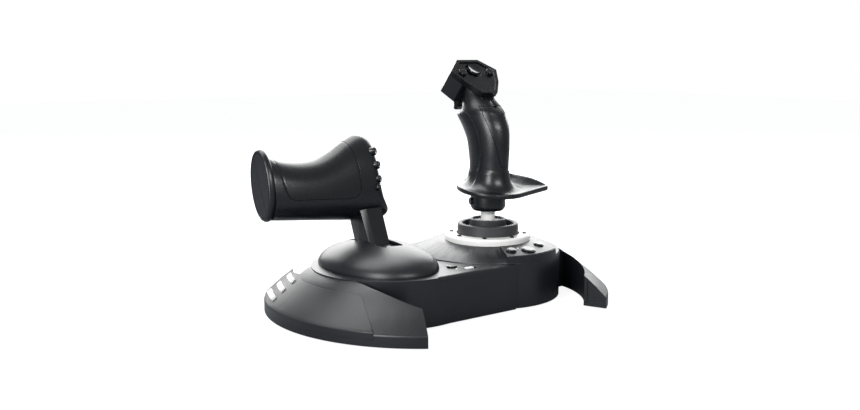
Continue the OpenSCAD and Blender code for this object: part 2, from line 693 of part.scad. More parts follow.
// Cover let into the side that faces the user
module side_cover_form() intersection() {
  difference() {
    handle_form(-0.8);
    translate([-110, 0, 0]) rotate([90, 0, 90]) linear_extrude(140) polygon(handle_section(2));
  }
  rotate([90, 0, 0]) linear_extrude(60) polygon([
    [-86, 30], [-12, 40], [-5, 34], [-2, 16], [-3, -4], [-8, -10], [-24, -12], [-44, -9], [-78, -8],
    [-82, 0], [-86, 14]
  ]);
}
module handle_side_cover() color(charcoal) at_handle() side_cover_form();
module handle_end_cap() color(mid_grey) at_handle() translate([handle_x0, 0, -3]) rotate([90, 0, 90]) {
  linear_extrude(6) polygon(ellipse_arc(0, 0, 17.5, 33, 0, 359, 47));
}
module handle_button(p) color(dark) at_handle() at_thumb(p, thumb_turn) post(thumb_button_r, -7.5, 1.7);
module handle_button_upper() handle_button(handle_buttons[0]);
module handle_button_middle() handle_button(handle_buttons[1]);
module handle_button_lower() handle_button(handle_buttons[2]);
module handle_button_oval() color(dark) at_handle() at_thumb(oval_place, oval_turn) post(oval_r, -6, 1.7);
module rudder_rocker() color(dark) at_handle() {
  box(rocker_x - 14, rocker_x + 14, rocker_pivot_y + 1.4, rocker_pivot_y + 5.4, -6.6, 6.6);
  translate([rocker_x, rocker_pivot_y, 0]) cylinder(r = 2, h = 13.2, center = true);
}

// ---------- grip ----------

// Height on the stick's axis, middle in Y, half width, half depth, rise per mm away from the user
rest_rise = tan(rest_tilt);
grip_stations = [
  [102.4, -1, 25, 29, rest_rise], [107, -1, 20, 25, rest_rise], [111, -0.5, 17, 22.8, rest_rise / 2],
  [117, -0.4, 15.4, 21.6, 0], [126, -0.4, 15, 21.6, 0], [138, 0, 15.5, 22.8, 0], [150, 1.5, 16.3, 24, 0],
  [160, 5, 17.5, 26, 0], [168, 9.5, 18.2, 27.5, 0], [172.5, 12, 18.2, 28, 0], [176, 9, 18, 23, 0],
  [184, 11, 16, 20, 0], [194, 16, 15, 17.5, 0], [204, 21, 15, 17, 0]
];
loft_n = 32;
function loft_points(stations, inset) = [for (s = stations) for (i = [0:loft_n - 1])
  let (a = 360 * (i + 0.5) / loft_n, y = s[1] + (s[3] - inset) * sin(a))
  [(s[2] - inset) * cos(a), y, s[0] + s[4] * y]];
function loft_faces(rows) = concat(
  [[for (i = [0:loft_n - 1]) i]],
  [for (r = [0:rows - 2]) for (i = [0:loft_n - 1]) let (j = (i + 1) % loft_n)
    each [[r * loft_n + i, (r + 1) * loft_n + i, (r + 1) * loft_n + j],
      [r * loft_n + i, (r + 1) * loft_n + j, r * loft_n + j]]],
  [[for (i = [loft_n - 1:-1:0]) (rows - 1) * loft_n + i]]
);
module loft(stations, inset) polyhedron(loft_points(stations, inset), loft_faces(len(stations)), convexity = 6);
// Plan of the hand rest: a round plate drawn out to a small round tip on the right
rest_r = 33;
rest_xy = [2.5, -2];
rest_tip_r = 2.5;
rest_tip_xy = [57.5, -17.5];
rest_axis = rest_tip_xy - rest_xy;
rest_axis_angle = atan2(rest_axis[1], rest_axis[0]);
rest_tangent = acos((rest_r - rest_tip_r) / norm(rest_axis));
module rest_plan() polygon(concat(
  arc(rest_xy[0], rest_xy[1], rest_r, rest_axis_angle + rest_tangent,
    360 + rest_axis_angle - rest_tangent, 40),
  arc(rest_tip_xy[0], rest_tip_xy[1], rest_tip_r, rest_axis_angle - rest_tangent,
    rest_axis_angle + rest_tangent, 8)
));
rest_t = 4.4;
module hand_rest_plate() translate([0, 0, 100.2]) rotate([rest_tilt, 0, 0]) linear_extrude(rest_t) rest_plan();
module below_head() difference() {
  children();
  translate([0, head_y, head_z]) rotate([head_tilt, 0, 0]) {
    box(-60, 60, -60, 90, -head_t, 90);
    box(-60, 60, housing_t0, 90, -housing_depth, 90);
  }
}
bushing_r = 11;
module grip_solid() {
  rotate_extrude() polygon([
    [bushing_r, collar_z], [13.8, collar_z], [collar_r, collar_z + 3], [collar_r, 101.5], [bushing_r, 101.5]
  ]);
  hand_rest_plate();
  below_head() loft(grip_stations, 0);
}
module grip_hollow() {
  loft([for (s = grip_stations) if (s[0] > 107) s], wall);
  post(bushing_r, 60, 111);
}
module grip_half(s) at_stick() difference() {
  grip_solid();
  grip_hollow();
  box(s > 0 ? -90 : 0, s > 0 ? 0 : 90, -90, 90, 0, 260);
  at_lock() post(lock_head_r, 0, 9);
  at_lock() post(lock_r, -6, 1);
  difference() {
    inlay_prism();
    loft([for (s = grip_stations) if (s[0] > 107) s], inlay_depth);
  }
}
module grip_left_shell() color(charcoal) grip_half(-1);
module grip_right_shell() color(charcoal) grip_half(1);
// Plate let into the back of the grip, tapering downwards
inlay_depth = 1.4;
inlay_side = [[0, 124], [3, 124], [5.5, 130], [9, 150], [12.5, 168], [13, 181], [0, 181]];
module inlay_prism() rotate([90, 0, 0]) linear_extrude(60)
  polygon(concat(inlay_side, [for (i = [5:-1:1]) [-inlay_side[i][0], inlay_side[i][1]]]));
module rear_inlay() color(charcoal) at_stick() difference() {
  intersection() {
    loft([for (s = grip_stations) if (s[0] > 110.5 && s[0] < 190) s], -0.4);
    inlay_prism();
  }
  loft([for (s = grip_stations) if (s[0] > 107) s], inlay_depth);
}
module twist_bushing() color(steel) at_stick() difference() {
  post(bushing_r, 84, 108);
  post(shaft_r + pin_fit, 80, 110);
}
// Screw in the side of the collar that locks the twist, with a hexagon socket
lock_angle = 160;
lock_z = 91;
lock_seat = collar_r - 1.4;
lock_head_r = 3.4;
lock_head_h = 3.2;
lock_r = 1.2;
module at_lock() rotate(lock_angle) translate([lock_seat, 0, lock_z]) rotate([0, 90, 0]) children();
module twist_lock_screw() color(dark) at_stick() at_lock() difference() {
  union() {
    post(lock_head_r, 0, lock_head_h);
    post(lock_r, bushing_r + 0.2 - lock_seat, eps);
  }
  translate([0, 0, lock_head_h - 1.6]) cylinder(r = 1.3, h = 3, $fn = 6);
}

// ---------- head ----------

head_t = 5.5;              // thickness of the button plate
housing_depth = 26;
housing_t0 = -6;           // the housing begins here, up the plate
head_plan = [
  [-12.6, 22.9], [-27.3, 8.5], [-19.6, -8.2], [-9, -22.9],
  [9, -22.9], [19.6, -8.2], [27.3, 8.5], [12.6, 22.9]
];
hat_t = 9;                 // middle of the hat, up the plate
head_button_x = 16.5;
head_button_t = 5;
trigger_y = 40;            // trigger's pivot
trigger_z = 199.5;
trigger_pin_r = 1.5;
ear_x = 8.5;               // distance of the ears' middles from the trigger's middle
hat_pin_r = 0.9;
hat_pivot_z = -9.2;
module trigger_slot() box(-7.2, 7.2, 30, 60, 170, 203.2);
module head_housing() color(charcoal) difference() {
  union() {
    difference() {
      at_head() difference() {
        intersection() {
          translate([0, 0, -housing_depth]) linear_extrude(housing_depth - head_t) polygon(head_plan);
          box(-60, 60, housing_t0, 60, -60, 0);
        }
        translate([0, 0, -housing_depth + wall]) linear_extrude(housing_depth)
          polygon([for (p = head_plan) [p[0] * 0.87, max(p[1] * 0.87, housing_t0 + wall)]]);
      }
      at_stick() trigger_slot();
    }
    // Ears that hold the trigger's pin
    at_head() for (s = [-1, 1]) translate([s * ear_x, 0, 0]) box(-1.1, 1.1, 10, 17, -24.2, -18);
  }
  at_stick() along_x(trigger_pin_r + pin_fit, -ear_x - 2, ear_x + 2, trigger_y, trigger_z);
}
module head_plate() color(dark) at_head() difference() {
  union() {
    translate([0, 0, -head_t]) linear_extrude(head_t) polygon(head_plan);
    // Ears under the plate that hold the hat's rocker
    for (s = [-1, 1]) translate([s * 6.3, hat_t, 0]) box(-1.1, 1.1, -2.6, 2.6, hat_pivot_z - 2, -head_t + eps);
  }
  along_x(hat_pin_r + pin_fit, -10, 10, hat_t, hat_pivot_z);
  translate([0, 0, -1.2]) linear_extrude(3) polygon([for (p = head_plan) p * 0.86]);
  translate([0, hat_t, 0]) post(8.8, -3.4, 5);
  translate([0, hat_t, 0]) post(4.6, -9, 5);
  for (s = [-1, 1]) post(3.8 + button_gap, -9, 5, s * head_button_x, head_button_t);
}
module trigger() color(mid_grey) at_stick() {
  block_profile([
    [trigger_y - 3, trigger_z + 2], [trigger_y + 3, trigger_z + 3], [48.5, 197], [49.5, 193], [46, 186],
    [44.3, 180], [45, 176], [42, 175], [38.5, 178], [36.5, 186], [36.5, 194]
  ], -6.6, 6.6);
  along_x(trigger_pin_r, -ear_x, ear_x, trigger_y, trigger_z);
}
// Rocker under the hat: pins across, and a bore along for the hat's own pin
module hat_rocker() color(mid_grey) at_head() translate([0, hat_t, 0]) difference() {
  union() {
    post(4, -10.5, -8);
    along_x(hat_pin_r, -7, 7, 0, hat_pivot_z);
  }
  along_y(hat_pin_r + pin_fit, -5, 5, 0, hat_pivot_z);
}
module hat_cap() color(dark) at_head() translate([0, hat_t, 0]) {
  post(2.4, -7.2, -0.5);
  // Fork that carries the hat's pin
  box(-1.2, 1.2, -5.8, 5.8, -7.2, -6.6);
  for (s = [-1, 1]) translate([0, s * 5.1, 0]) box(-1.2, 1.2, -0.7, 0.7, -10.1, -7.1);
  along_y(hat_pin_r, -5.8, 5.8, 0, hat_pivot_z);
  translate([0, 0, -1]) rotate_extrude() polygon([[0, 0], [6.6, 0], [7, 1], [6.4, 2.6], [4.5, 2.2], [0, 1.6]]);
}
module head_button(s) color(dark) at_head() translate([s * head_button_x, head_button_t, 0]) {
  post(3.8, -7, 1.6);
  post(4.8, -8.6, -7 + eps);
}
module head_button_left() head_button(-1);
module head_button_right() head_button(1);

stick_base_shell();
stick_base_plate();
right_crescent();
console_panel();
indicator_lights();
ring_trim();
ring_screws();
gaiter_cup();
gimbal_frame();
pitch_sensor();
circuit_boards();
cable_gland();
base_screws();
rubber_feet();
throttle_base_shell();
throttle_base_plate();
left_crescent();
crescent_cover();
light_strips();
dome_cap();
lever_bearings();
friction_pads();
throttle_sensor();
ballast_plates();
console_button_left();
console_button_right();
console_button_middle();
deck_button();
mode_switch();
tension_wheel();
centering_cup();
centering_spring();
gimbal_yoke();
roll_sensor();
stick_hub();
stick_shaft();
gaiter_cuff();
grip_left_shell();
grip_right_shell();
rear_inlay();
twist_bushing();
twist_lock_screw();
head_housing();
head_plate();
trigger();
hat_rocker();
hat_cap();
head_button_left();
head_button_right();
throttle_lever();
throttle_axle();
handle_rear_shell();
handle_front_shell();
handle_side_cover();
handle_end_cap();
handle_button_upper();
handle_button_middle();
handle_button_lower();
handle_button_oval();
rudder_rocker();
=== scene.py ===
import json
import math

import bpy
from mathutils import Matrix, Vector

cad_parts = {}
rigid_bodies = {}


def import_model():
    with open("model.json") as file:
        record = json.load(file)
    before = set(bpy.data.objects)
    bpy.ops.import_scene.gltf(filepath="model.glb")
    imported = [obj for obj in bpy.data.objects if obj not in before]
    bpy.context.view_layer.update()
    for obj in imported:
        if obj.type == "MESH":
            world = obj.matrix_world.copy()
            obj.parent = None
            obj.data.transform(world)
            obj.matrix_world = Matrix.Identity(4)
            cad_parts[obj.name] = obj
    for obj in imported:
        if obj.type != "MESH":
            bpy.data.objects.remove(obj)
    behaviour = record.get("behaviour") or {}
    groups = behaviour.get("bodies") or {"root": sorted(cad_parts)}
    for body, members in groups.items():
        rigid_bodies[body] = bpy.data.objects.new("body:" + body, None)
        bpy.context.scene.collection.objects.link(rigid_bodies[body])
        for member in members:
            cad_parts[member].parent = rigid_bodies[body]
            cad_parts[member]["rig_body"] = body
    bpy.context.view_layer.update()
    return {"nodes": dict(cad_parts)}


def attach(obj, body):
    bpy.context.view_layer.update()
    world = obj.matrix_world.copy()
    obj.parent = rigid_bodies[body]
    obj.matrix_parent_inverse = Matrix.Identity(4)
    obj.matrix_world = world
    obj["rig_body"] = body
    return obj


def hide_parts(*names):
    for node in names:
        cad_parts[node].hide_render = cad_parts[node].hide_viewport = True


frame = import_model()

# ---------- camera and studio ----------
# Eye height of somebody at the desk, a little to the left of the unit, with a 40 mm lens.
# A pale seamless floor, lit by a soft box overhead, a wide wall of light behind the unit, a box at
# the left and a narrow strip in front.

bpy.ops.object.camera_add(
    location=(-0.527, -0.686, 0.2284), rotation=(math.radians(81), 0, math.radians(-36.7))
)
camera = bpy.context.object
camera.data.lens = 40
camera.data.sensor_width = 36
camera.data.sensor_fit = "HORIZONTAL"
bpy.context.scene.camera = camera
bpy.context.scene.view_settings.view_transform = "Standard"


def linear(hex_colour):
    """An sRGB hex colour as the linear colour that a shader socket takes."""
    parts = [int(hex_colour[i : i + 2], 16) / 255 for i in (1, 3, 5)]
    return [p / 12.92 if p <= 0.04045 else ((p + 0.055) / 1.055) ** 2.4 for p in parts] + [1]


def add(tree, kind, inputs=None, **settings):
    """A new shader node, with its settings, and its inputs given as values or as sockets to link."""
    node = tree.nodes.new("ShaderNode" + kind)
    for key, value in settings.items():
        setattr(node, key, value)
    for key, value in (inputs or {}).items():
        if isinstance(value, bpy.types.NodeSocket):
            tree.links.new(value, node.inputs[key])
        else:
            node.inputs[key].default_value = value
    return node


bpy.ops.mesh.primitive_plane_add(size=8, location=(0, 0, 0))
floor = bpy.context.object
floor.name = "studio_floor"
paper = bpy.data.materials.new("studio_paper")
paper.use_nodes = True
shader = paper.node_tree.nodes["Principled BSDF"]
shader.inputs["Base Color"].default_value = linear("#7c7f84")
shader.inputs["Roughness"].default_value = 0.9
shader.inputs["Emission Color"].default_value = (1, 1, 1, 1)
# The paper glows for the camera only, so it reads as white out to the horizon
glow = add(paper.node_tree, "LightPath").outputs["Is Camera Ray"]
glow = add(paper.node_tree, "Math", {0: glow, 1: 0.9}, operation="MULTIPLY")
paper.node_tree.links.new(glow.outputs["Value"], shader.inputs["Emission Strength"])
floor.data.materials.append(paper)

world = bpy.data.worlds.new("studio")
bpy.context.scene.world = world
world.use_nodes = True
background = world.node_tree.nodes["Background"]
background.inputs["Color"].default_value = (1, 1, 1, 1)
# The camera sees a white room, while the object is lit by it only weakly, so its darks stay dark
seen = add(world.node_tree, "LightPath").outputs["Is Camera Ray"]
strength = add(world.node_tree, "MapRange", {"Value": seen, "To Min": 0.3, "To Max": 1.0})
world.node_tree.links.new(strength.outputs["Result"], background.inputs["Strength"])


def soft_light(name, place, target, width, height, power):
    """A rectangular softbox that faces a point."""
    bpy.ops.object.light_add(type="AREA", location=place)
    lamp = bpy.context.object
    lamp.name = name
    lamp.data.shape = "RECTANGLE"
    lamp.data.size = width
    lamp.data.size_y = height
    lamp.data.energy = power
    lamp.visible_camera = False
    lamp.rotation_euler = (Vector(target) - Vector(place)).to_track_quat("-Z", "Y").to_euler()


soft_light("overhead_box", (-0.1, 0.4, 1.0), (0, 0, 0.1), 1.2, 0.6, 10)
soft_light("back_wall", (0.85, 1.2, 0.8), (0, 0, 0.05), 2.6, 1.3, 52)
soft_light("left_box", (-1.1, -0.45, 0.5), (0, 0, 0.1), 0.45, 0.8, 12)
soft_light("front_strip", (-0.1, -1.3, 0.75), (0, 0, 0.08), 0.8, 0.2, 8)

# ---------- stick base ----------
# A drum moulded in textured charcoal ABS, with a sloping top. A plate screwed on from below
# closes it and carries the weights, and it stands on rubber feet.


def moulded_plastic(name, dark, light, roughness, grain_mm, relief_mm):
    """A moulded plastic or rubber: two close colours in broad clouds, and the mould's grain as relief."""
    material = bpy.data.materials.new(name)
    material.use_nodes = True
    tree = material.node_tree
    place = add(tree, "TexCoord").outputs["Object"]
    clouds = add(tree, "TexNoise", {"Vector": place, "Scale": 22, "Detail": 4, "Roughness": 0.6})
    grain = add(
        tree, "TexNoise", {"Vector": place, "Scale": 1000 / grain_mm, "Detail": 3, "Roughness": 0.7}
    )
    colour = add(tree, "ValToRGB", {"Fac": clouds.outputs["Fac"]})
    colour.color_ramp.elements[0].position = 0.35
    colour.color_ramp.elements[0].color = linear(dark)
    colour.color_ramp.elements[1].position = 0.68
    colour.color_ramp.elements[1].color = linear(light)
    sheen = add(
        tree,
        "MapRange",
        {
            "Value": grain.outputs["Fac"],
            "From Min": 0.3,
            "From Max": 0.7,
            "To Min": roughness - 0.05,
            "To Max": roughness + 0.07,
        },
    )
    relief = add(
        tree, "Bump", {"Height": grain.outputs["Fac"], "Strength": 1, "Distance": relief_mm / 1000}
    )
    shader = tree.nodes["Principled BSDF"]
    tree.links.new(colour.outputs["Color"], shader.inputs["Base Color"])
    tree.links.new(sheen.outputs["Result"], shader.inputs["Roughness"])
    tree.links.new(relief.outputs["Normal"], shader.inputs["Normal"])
    shader.inputs["IOR"].default_value = 1.53
    return material


# Spark-eroded ABS, with a broad soft sheen. Its real grain of 0.1 mm is too fine to show here, so it
# is drawn at 0.8 mm. The satin ABS has a shallower grain, and the polished one gives sharp highlights.
textured_abs = moulded_plastic("textured_charcoal_ABS", "#0c0f14", "#11141a", 0.38, 0.8, 0.02)
satin_abs = moulded_plastic("satin_charcoal_ABS", "#0a0c11", "#0e1116", 0.3, 0.8, 0.01)
smooth_abs = moulded_plastic("polished_black_ABS", "#0a0b0e", "#0f1014", 0.14, 1.2, 0.004)


def only(piece):
    """Makes one object the selected and active one."""
    bpy.ops.object.select_all(action="DESELECT")
    piece.select_set(True)
    bpy.context.view_layer.objects.active = piece


def settle(piece, look, node, *more_nodes):
    """Gives a finished piece its material, slot and body, and lets it stand for its CAD nodes."""
    piece.data.materials.clear()
    piece.data.materials.append(look)
    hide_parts(node, *more_nodes)
    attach(piece, frame["nodes"][node]["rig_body"])


# Points closer than this are one, faces flatter than this are one, and an edge sharper than this is
# rounded
merge_distance = 0.00001
flat_angle = math.radians(0.6)
edge_angle = math.radians(28)


def moulding(node, edge_mm, look):
    """A copy of a CAD node, its loose triangles merged and its edges rounded as a mould leaves them."""
    piece = bpy.data.objects.new("moulded_" + node, frame["nodes"][node].data.copy())
    bpy.context.scene.collection.objects.link(piece)
    only(piece)
    bpy.ops.object.mode_set(mode="EDIT")
    bpy.ops.mesh.select_all(action="SELECT")
    bpy.ops.mesh.customdata_custom_splitnormals_clear()
    bpy.ops.mesh.remove_doubles(threshold=merge_distance)
    bpy.ops.mesh.dissolve_limited(angle_limit=flat_angle)
    bpy.ops.object.mode_set(mode="OBJECT")
    rounding = piece.modifiers.new("rounded_edges", "BEVEL")
    rounding.width = edge_mm / 1000
    rounding.segments = 3
    rounding.limit_method = "ANGLE"
    rounding.angle_limit = edge_angle
    rounding.use_clamp_overlap = True
    bpy.ops.object.modifier_apply(modifier=rounding.name)
    bpy.ops.object.shade_smooth_by_angle(angle=edge_angle)
    # Normals follow the broad faces, so the narrow rounded edges leave no ripple in them
    even = piece.modifiers.new("even_shading", "WEIGHTED_NORMAL")
    even.keep_sharp = True
    bpy.ops.object.modifier_apply(modifier=even.name)
    settle(piece, look, node)


def dress(look, *nodes):
    """Gives CAD nodes that stay as they are their finish."""
    for node in nodes:
        frame["nodes"][node].data.materials.clear()
        frame["nodes"][node].data.materials.append(look)


moulding("stick_base_shell", 0.8, textured_abs)
moulding("stick_base_plate", 0.4, textured_abs)
foot_rubber = moulded_plastic("moulded_foot_rubber", "#17181a", "#1d1e20", 0.7, 0.8, 0.03)
moulding("rubber_feet", 0.3, foot_rubber)
moulding("cable_gland", 0.3, foot_rubber)


def plated_metal(name, colour, roughness, scratch_mm):
    """Plated or drawn metal, with fine scratches along one direction."""
    material = bpy.data.materials.new(name)
    material.use_nodes = True
    tree = material.node_tree
    place = add(tree, "TexCoord").outputs["Object"]
    along = add(tree, "Mapping", {"Vector": place, "Scale": (1, 1, 12)})
    scratches = add(
        tree, "TexNoise", {"Vector": along.outputs["Vector"], "Scale": 1000 / scratch_mm, "Detail": 3}
    )
    polish = add(
        tree,
        "MapRange",
        {"Value": scratches.outputs["Fac"], "To Min": roughness - 0.08, "To Max": roughness + 0.12},
    )
    scratch_depth = 0.00001
    relief = add(
        tree, "Bump", {"Height": scratches.outputs["Fac"], "Strength": 0.6, "Distance": scratch_depth}
    )
    shader = tree.nodes["Principled BSDF"]
    shader.inputs["Base Color"].default_value = linear(colour)
    shader.inputs["Metallic"].default_value = 1
    tree.links.new(polish.outputs["Result"], shader.inputs["Roughness"])
    tree.links.new(relief.outputs["Normal"], shader.inputs["Normal"])
    return material


# Zinc plating gives a pale grey shine, and blackened steel a dark one
zinc_steel = plated_metal("zinc_plated_steel", "#8f9296", 0.32, 1.5)
black_steel = plated_metal("blackened_steel", "#2c2d30", 0.34, 1.5)
moulding("base_screws", 0.12, zinc_steel)
dress(zinc_steel, "ballast_plates")
board_green = moulded_plastic("solder_masked_board", "#12402a", "#185236", 0.3, 1.5, 0.01)
dress(board_green, "circuit_boards")

# ---------- console ----------
# A raised panel moulded in the same ABS on the front of the drum, with three round buttons
# of polished black ABS and a small light beside them.

moulding("console_panel", 0.7, textured_abs)
for node in ("console_button_left", "console_button_right", "console_button_middle"):
    moulding(node, 0.45, smooth_abs)
milky_abs = moulded_plastic("milk_white_ABS", "#e6e6e4", "#efefee", 0.25, 1.2, 0.01)
moulding("indicator_lights", 0.15, milky_abs)

# ---------- trim ring ----------
# A flat ring of milk-white ABS round the foot of the stick, which clamps the rubber boot.
# Eight small blackened screws hold it down.

moulding("ring_trim", 0.5, milky_abs)
moulding("ring_screws", 0.2, black_steel)

# ---------- boot ----------
# Two steps of dull moulded rubber: a cup clamped by the ring, and a cuff that moves with the stick.
# They are modelled as rigid, with nothing stretched between them.

boot_rubber = moulded_plastic("moulded_boot_rubber", "#2a2b2d", "#323335", 0.52, 1.0, 0.04)
moulding("gaiter_cup", 0.3, boot_rubber)
moulding("gaiter_cuff", 0.3, boot_rubber)

# ---------- gimbal and shaft ----------
# A steel yoke and hub in a moulded frame under the boot, pulled upright by one spring and cup.
# The hollow shaft is white ABS over steel.

grey_nylon = moulded_plastic("glass_filled_nylon", "#3a3b3e", "#434448", 0.45, 0.9, 0.03)
dress(grey_nylon, "gimbal_frame", "centering_cup", "tension_wheel")
dress(zinc_steel, "gimbal_yoke", "stick_hub", "centering_spring", "twist_bushing")
dress(board_green, "pitch_sensor", "roll_sensor")
moulding("stick_shaft", 0.3, milky_abs)

# ---------- throttle base ----------
# The left half of the base, one moulding that butts against the stick's drum.
# Its deck holds a round button, a small slide switch and a light.

moulding("throttle_base_shell", 0.8, textured_abs)
moulding("throttle_base_plate", 0.4, textured_abs)
moulding("deck_button", 0.4, smooth_abs)
# The switch's milk-white is a painted reflection: it stands for the light that its glossy top reflects
moulding("mode_switch", 0.3, milky_abs)
dress(grey_nylon, "lever_bearings")
dress(board_green, "throttle_sensor")
pressed_felt = moulded_plastic("pressed_felt", "#5a3a24", "#6b472d", 0.9, 0.6, 0.15)
dress(pressed_felt, "friction_pads")

# ---------- dome ----------
# One shell of the textured ABS over the lever's hub, longer towards the user than it is wide, with
# a slot that the lever swings in. It clips down onto the throttle's half of the base.

dome_middle = Vector((-0.067, 0.009, 0.043))
dome_half = Vector((0.048, 0.065, 0.0215))
bpy.ops.object.select_all(action="DESELECT")
bpy.ops.mesh.primitive_uv_sphere_add(segments=160, ring_count=64, radius=1, location=(0, 0, 0))
dome = bpy.context.object
dome.name = "dome_shell"
dome.scale = dome_half
bpy.ops.object.transform_apply(location=False, rotation=False, scale=True)
dome.location = dome_middle
bpy.ops.object.transform_apply(location=True, rotation=False, scale=False)
bpy.ops.object.mode_set(mode="EDIT")
bpy.ops.mesh.select_all(action="SELECT")
bpy.ops.mesh.bisect(plane_co=dome_middle, plane_no=(0, 0, 1), clear_inner=True)
bpy.ops.mesh.select_all(action="SELECT")
bpy.ops.mesh.normals_make_consistent(inside=False)
bpy.ops.object.mode_set(mode="OBJECT")
wall = dome.modifiers.new("wall", "SOLIDIFY")
wall.thickness = 0.0024  # 2.4 mm, a usual wall for ABS of this size
wall.offset = -1
bpy.ops.object.modifier_apply(modifier=wall.name)


def cut_with(piece, tool, operation="DIFFERENCE"):
    """Cuts one closed solid with another, which is then removed."""
    only(piece)
    cutting = piece.modifiers.new("cut", "BOOLEAN")
    cutting.operation = operation
    cutting.solver = "EXACT"
    cutting.object = tool
    bpy.ops.object.modifier_apply(modifier=cutting.name)
    bpy.data.objects.remove(tool)


def block(low, high):
    """A plain block between two corners, used only as a cutting tool."""
    bpy.ops.object.select_all(action="DESELECT")
    bpy.ops.mesh.primitive_cube_add(size=1, location=(Vector(low) + Vector(high)) / 2)
    made = bpy.context.object
    made.scale = Vector(high) - Vector(low)
    bpy.ops.object.transform_apply(location=True, rotation=False, scale=True)
    return made


def round_edges(piece, width_mm, segments=3, sharp=30):
    """Rounds the edges sharper than an angle and shades the rest smooth."""
    only(piece)
    rounding = piece.modifiers.new("rounded_edges", "BEVEL")
    rounding.width = width_mm / 1000
    rounding.segments = segments
    rounding.limit_method = "ANGLE"
    rounding.angle_limit = math.radians(sharp)
    bpy.ops.object.modifier_apply(modifier=rounding.name)
    bpy.ops.object.shade_smooth_by_angle(angle=math.radians(sharp))


slot_tool = block((-0.0762, -0.014, 0.045), (-0.0538, 0.047, 0.09))
only(slot_tool)
slot_rounding = slot_tool.modifiers.new("slot_ends", "BEVEL")
slot_rounding.width = 0.004
slot_rounding.segments = 6
bpy.ops.object.modifier_apply(modifier=slot_rounding.name)
cut_with(dome, slot_tool)
round_edges(dome, 0.35)
settle(dome, textured_abs, "dome_cap")

# ---------- lever ----------
# The post that carries the handle, moulded in satin ABS with one corner cut off flat. It turns on a
# plated steel axle inside the base, and leans away from the user at rest.

lever_axle = (-0.065, 0.004, 0.022)
lever_lean = math.radians(23)
lever_turn = Matrix.Translation(lever_axle) @ Matrix.Rotation(-lever_lean, 4, "X")
lever = bpy.data.objects.new("lever_post", frame["nodes"]["throttle_lever"].data.copy())
bpy.context.scene.collection.objects.link(lever)
lever.data.transform(lever_turn.inverted())
only(lever)
bpy.ops.object.mode_set(mode="EDIT")
bpy.ops.mesh.select_all(action="SELECT")
bpy.ops.mesh.customdata_custom_splitnormals_clear()
bpy.ops.mesh.remove_doubles(threshold=merge_distance)
bpy.ops.mesh.dissolve_limited(angle_limit=flat_angle)
bpy.ops.mesh.select_mode(type="EDGE")
bpy.ops.mesh.select_all(action="DESELECT")
bpy.ops.object.mode_set(mode="OBJECT")
# The near left corner of the post is cut off flat
corner = (-0.010, -0.012)
for edge in lever.data.edges:
    ends = [lever.data.vertices[k].co for k in edge.vertices]
    edge.select = all(abs(v.x - corner[0]) < 1e-4 and abs(v.y - corner[1]) < 1e-4 for v in ends)
bpy.ops.object.mode_set(mode="EDIT")
bpy.ops.mesh.bevel(offset=0.0042, segments=1)
bpy.ops.object.mode_set(mode="OBJECT")
round_edges(lever, 0.5, 2, 28)
lever.data.transform(lever_turn)
settle(lever, satin_abs, "throttle_lever")
dress(zinc_steel, "throttle_axle")

# ---------- handle ----------
# A barrel in two ABS halves screwed together across the lever, saddle-shaped on top for the
# palm. A cover is let into the side that faces the user, and an oval cap closes the outer end.

handle_height = 0.1035
handle_tilt = math.radians(12)
handle_turn = lever_turn @ Matrix.Translation((0, 0, handle_height)) @ Matrix.Rotation(handle_tilt, 4, "X")


def curve_value(points, at):
    """A smooth curve through (position, value) points, read at one position."""
    if at <= points[0][0]:
        return points[0][1]
    if at >= points[-1][0]:
        return points[-1][1]
    i = max(k for k in range(len(points) - 1) if points[k][0] <= at)
    (x0, y0), (x1, y1) = points[i], points[i + 1]
    before = points[i - 1] if i else (2 * x0 - x1, 2 * y0 - y1)
    after = points[i + 2] if i + 2 < len(points) else (2 * x1 - x0, 2 * y1 - y0)
    width = x1 - x0
    m0 = (y1 - before[1]) / (x1 - before[0]) * width
    m1 = (after[1] - y0) / (after[0] - x0) * width
    t = (at - x0) / width
    return (
        (2 * t**3 - 3 * t**2 + 1) * y0
        + (t**3 - 2 * t**2 + t) * m0
        + (3 * t**2 - 2 * t**3) * y1
        + (t**3 - t**2) * m1
    )


def skin(name, rings):
    """A closed mesh through rings of points in millimetres, with a cap on its first and last ring."""
    count = len(rings[0])
    faces = []
    for r in range(len(rings) - 1):
        for i in range(count):
            j = (i + 1) % count
            faces.append((r * count + i, r * count + j, (r + 1) * count + j, (r + 1) * count + i))
    faces.append(tuple(range(count)))
    faces.append(tuple(range((len(rings) - 1) * count, len(rings) * count)))
    mesh = bpy.data.meshes.new(name)
    mesh.from_pydata([Vector(p) / 1000 for ring in rings for p in ring], [], faces)
    made = bpy.data.objects.new(name, mesh)
    bpy.context.scene.collection.objects.link(made)
    only(made)
    bpy.ops.object.mode_set(mode="EDIT")
    bpy.ops.mesh.select_all(action="SELECT")
    bpy.ops.mesh.normals_make_consistent(inside=False)
    bpy.ops.object.mode_set(mode="OBJECT")
    return made


def duplicate(piece, name):
    """A copy of a piece with its own mesh."""
    made = bpy.data.objects.new(name, piece.data.copy())
    bpy.context.scene.collection.objects.link(made)
    return made


# Along the barrel: height of the saddle, height of the underside, and half depth
barrel_top = [
    (-94, 25.5), (-88, 23.6), (-80, 20.8), (-68, 18.6), (-55, 18.2), (-42, 20), (-28, 25.5), (-14, 33),
    (-4, 37), (4, 38.6), (13, 38.6),
]
barrel_bottom = [
    (-94, -29.8), (-80, -31.2), (-60, -33), (-40, -34.8), (-18, -37), (0, -38.8), (13, -39.8),
]
barrel_depth = [(-94, 17.6), (-86, 18.4), (-70, 19.6), (-45, 20.4), (-20, 20.5), (13, 20.5)]
